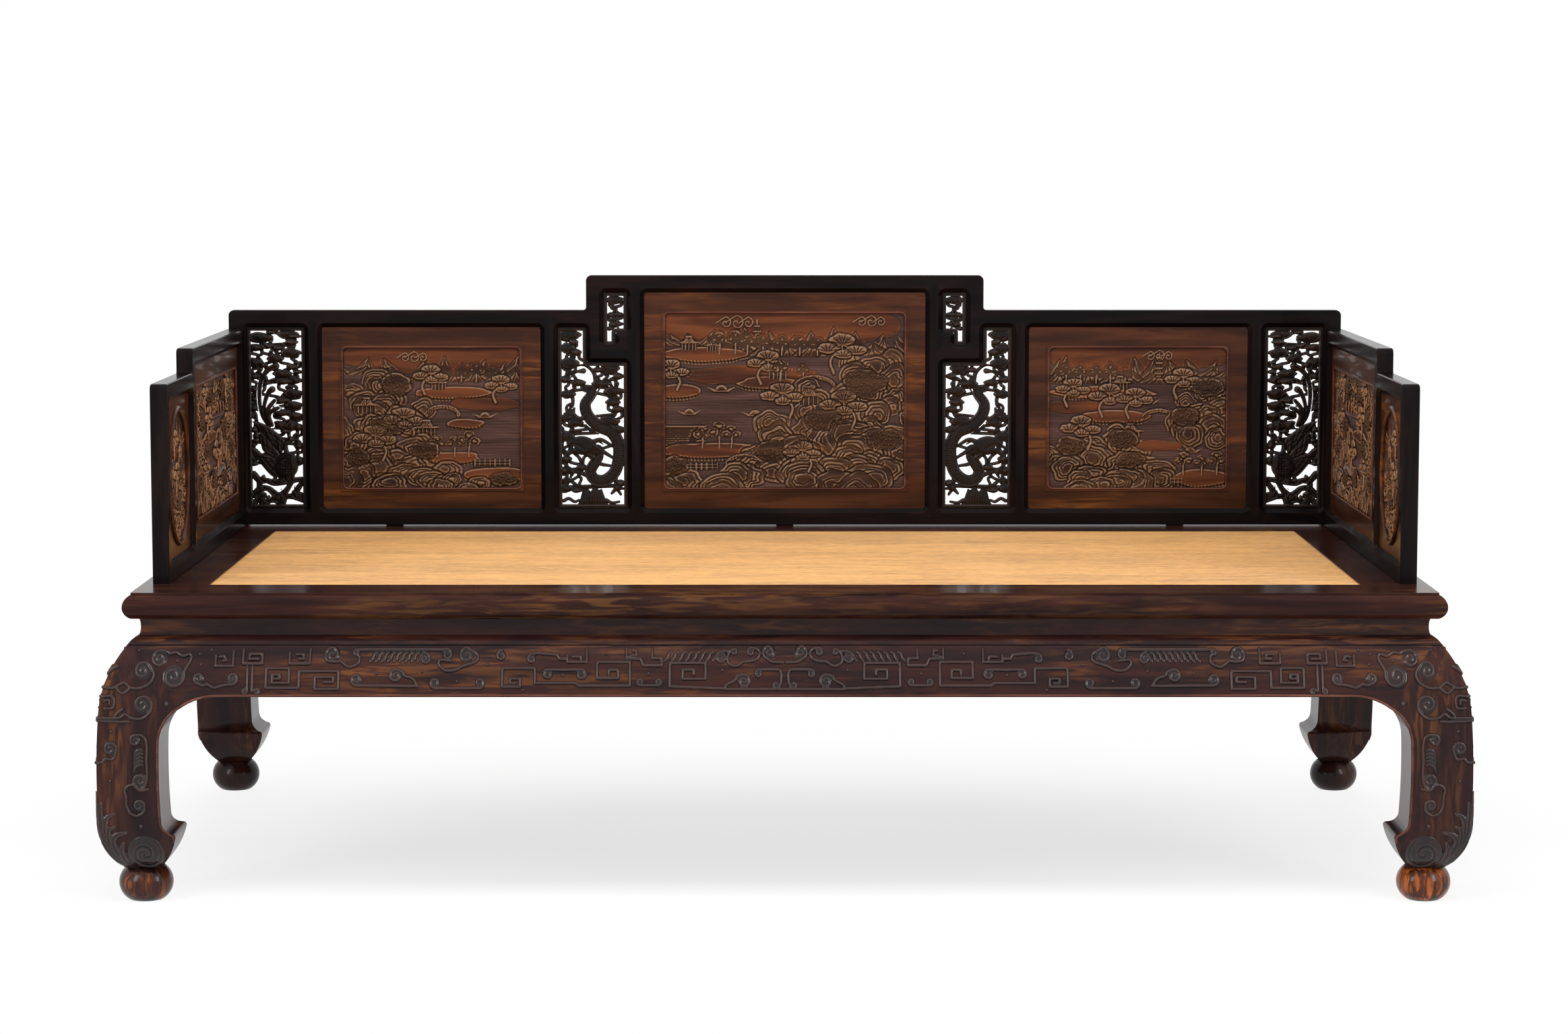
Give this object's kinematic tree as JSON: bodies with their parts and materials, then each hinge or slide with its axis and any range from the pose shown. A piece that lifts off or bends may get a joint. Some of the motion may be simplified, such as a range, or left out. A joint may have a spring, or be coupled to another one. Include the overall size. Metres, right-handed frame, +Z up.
{
  "type": "luohan daybed",
  "caption": "Hardwood luohan daybed: cane-matted seat frame on bulging hoof-footed legs with ball feet, and three stepped railings of carved and pierced panels that lift off.",
  "frame": {"origin": "on the floor under the middle of the seat", "axes": "+X along the bed's length, -Y towards its open front, +Z up"},
  "size_m": [2.2206, 1.1626, 0.976],
  "materials": {
    "railing_wood": "near-black hardwood, oiled and waxed to a soft gloss",
    "panel_wood": "figured red-brown hardwood, waxed, carved",
    "openwork_wood": "dark carved hardwood, waxed",
    "base_wood": "dark red-brown hardwood with amber figure, waxed",
    "ball_foot_wood": "red-orange figured hardwood, waxed",
    "brace_wood": "plain planed hardwood",
    "cane_mat": "fine twill-woven split cane, golden tan",
    "palm_webbing": "brown palm-fibre cord webbing"
  },
  "bodies": {
    "bed_base": {"apron_front": "base_wood", "apron_left": "base_wood", "apron_rear": "base_wood", "apron_right": "base_wood", "ball_foot_front_left": "ball_foot_wood", "ball_foot_front_right": "ball_foot_wood", "ball_foot_rear_left": "ball_foot_wood", "ball_foot_rear_right": "ball_foot_wood", "cane_mat": "cane_mat", "leg_front_left": "base_wood", "leg_front_right": "base_wood", "leg_rear_left": "base_wood", "leg_rear_right": "base_wood", "mat_braces": "brace_wood", "mat_press_strips": "base_wood", "palm_webbing": "palm_webbing", "seat_front_rail": "base_wood", "seat_left_end": "base_wood", "seat_rear_rail": "base_wood", "seat_right_end": "base_wood", "waist_front": "base_wood", "waist_left": "base_wood", "waist_rear": "base_wood", "waist_right": "base_wood"},
    "rear_railing": {"rear_bottom_rail": "railing_wood", "rear_centre_panel": "panel_wood", "rear_centre_stiles": "railing_wood", "rear_centre_top_rail": "railing_wood", "rear_cloud_openworks": "openwork_wood", "rear_left_dragon_openwork": "openwork_wood", "rear_left_hook": "railing_wood", "rear_left_phoenix_openwork": "openwork_wood", "rear_left_wing_panel": "panel_wood", "rear_left_wing_top_rail": "railing_wood", "rear_outer_stiles": "railing_wood", "rear_phoenix_stiles": "railing_wood", "rear_right_dragon_openwork": "openwork_wood", "rear_right_hook": "railing_wood", "rear_right_phoenix_openwork": "openwork_wood", "rear_right_wing_panel": "panel_wood", "rear_right_wing_top_rail": "railing_wood", "rear_wing_stiles": "railing_wood"},
    "left_railing": {"left_railing_bottom_rail": "railing_wood", "left_railing_front_stile": "railing_wood", "left_railing_high_top_rail": "railing_wood", "left_railing_keys": "railing_wood", "left_railing_landscape_panel": "panel_wood", "left_railing_low_top_rail": "railing_wood", "left_railing_medallion_panel": "panel_wood", "left_railing_middle_stile": "railing_wood", "left_railing_rear_stile": "railing_wood"},
    "right_railing": {"right_railing_bottom_rail": "railing_wood", "right_railing_front_stile": "railing_wood", "right_railing_high_top_rail": "railing_wood", "right_railing_keys": "railing_wood", "right_railing_landscape_panel": "panel_wood", "right_railing_low_top_rail": "railing_wood", "right_railing_medallion_panel": "panel_wood", "right_railing_middle_stile": "railing_wood", "right_railing_rear_stile": "railing_wood"}
  },
  "joints": [
    {"name": "rear_railing_lift", "type": "slide", "parent": "bed_base", "child": "rear_railing", "axis": [0, 0, 1], "range_m": [0, 0.045]},
    {"name": "left_railing_lift", "type": "slide", "parent": "rear_railing", "child": "left_railing", "axis": [0, 0, 1], "range_m": [0, 0.04]},
    {"name": "right_railing_lift", "type": "slide", "parent": "rear_railing", "child": "right_railing", "axis": [0, 0, 1], "range_m": [0, 0.04]}
  ]
}
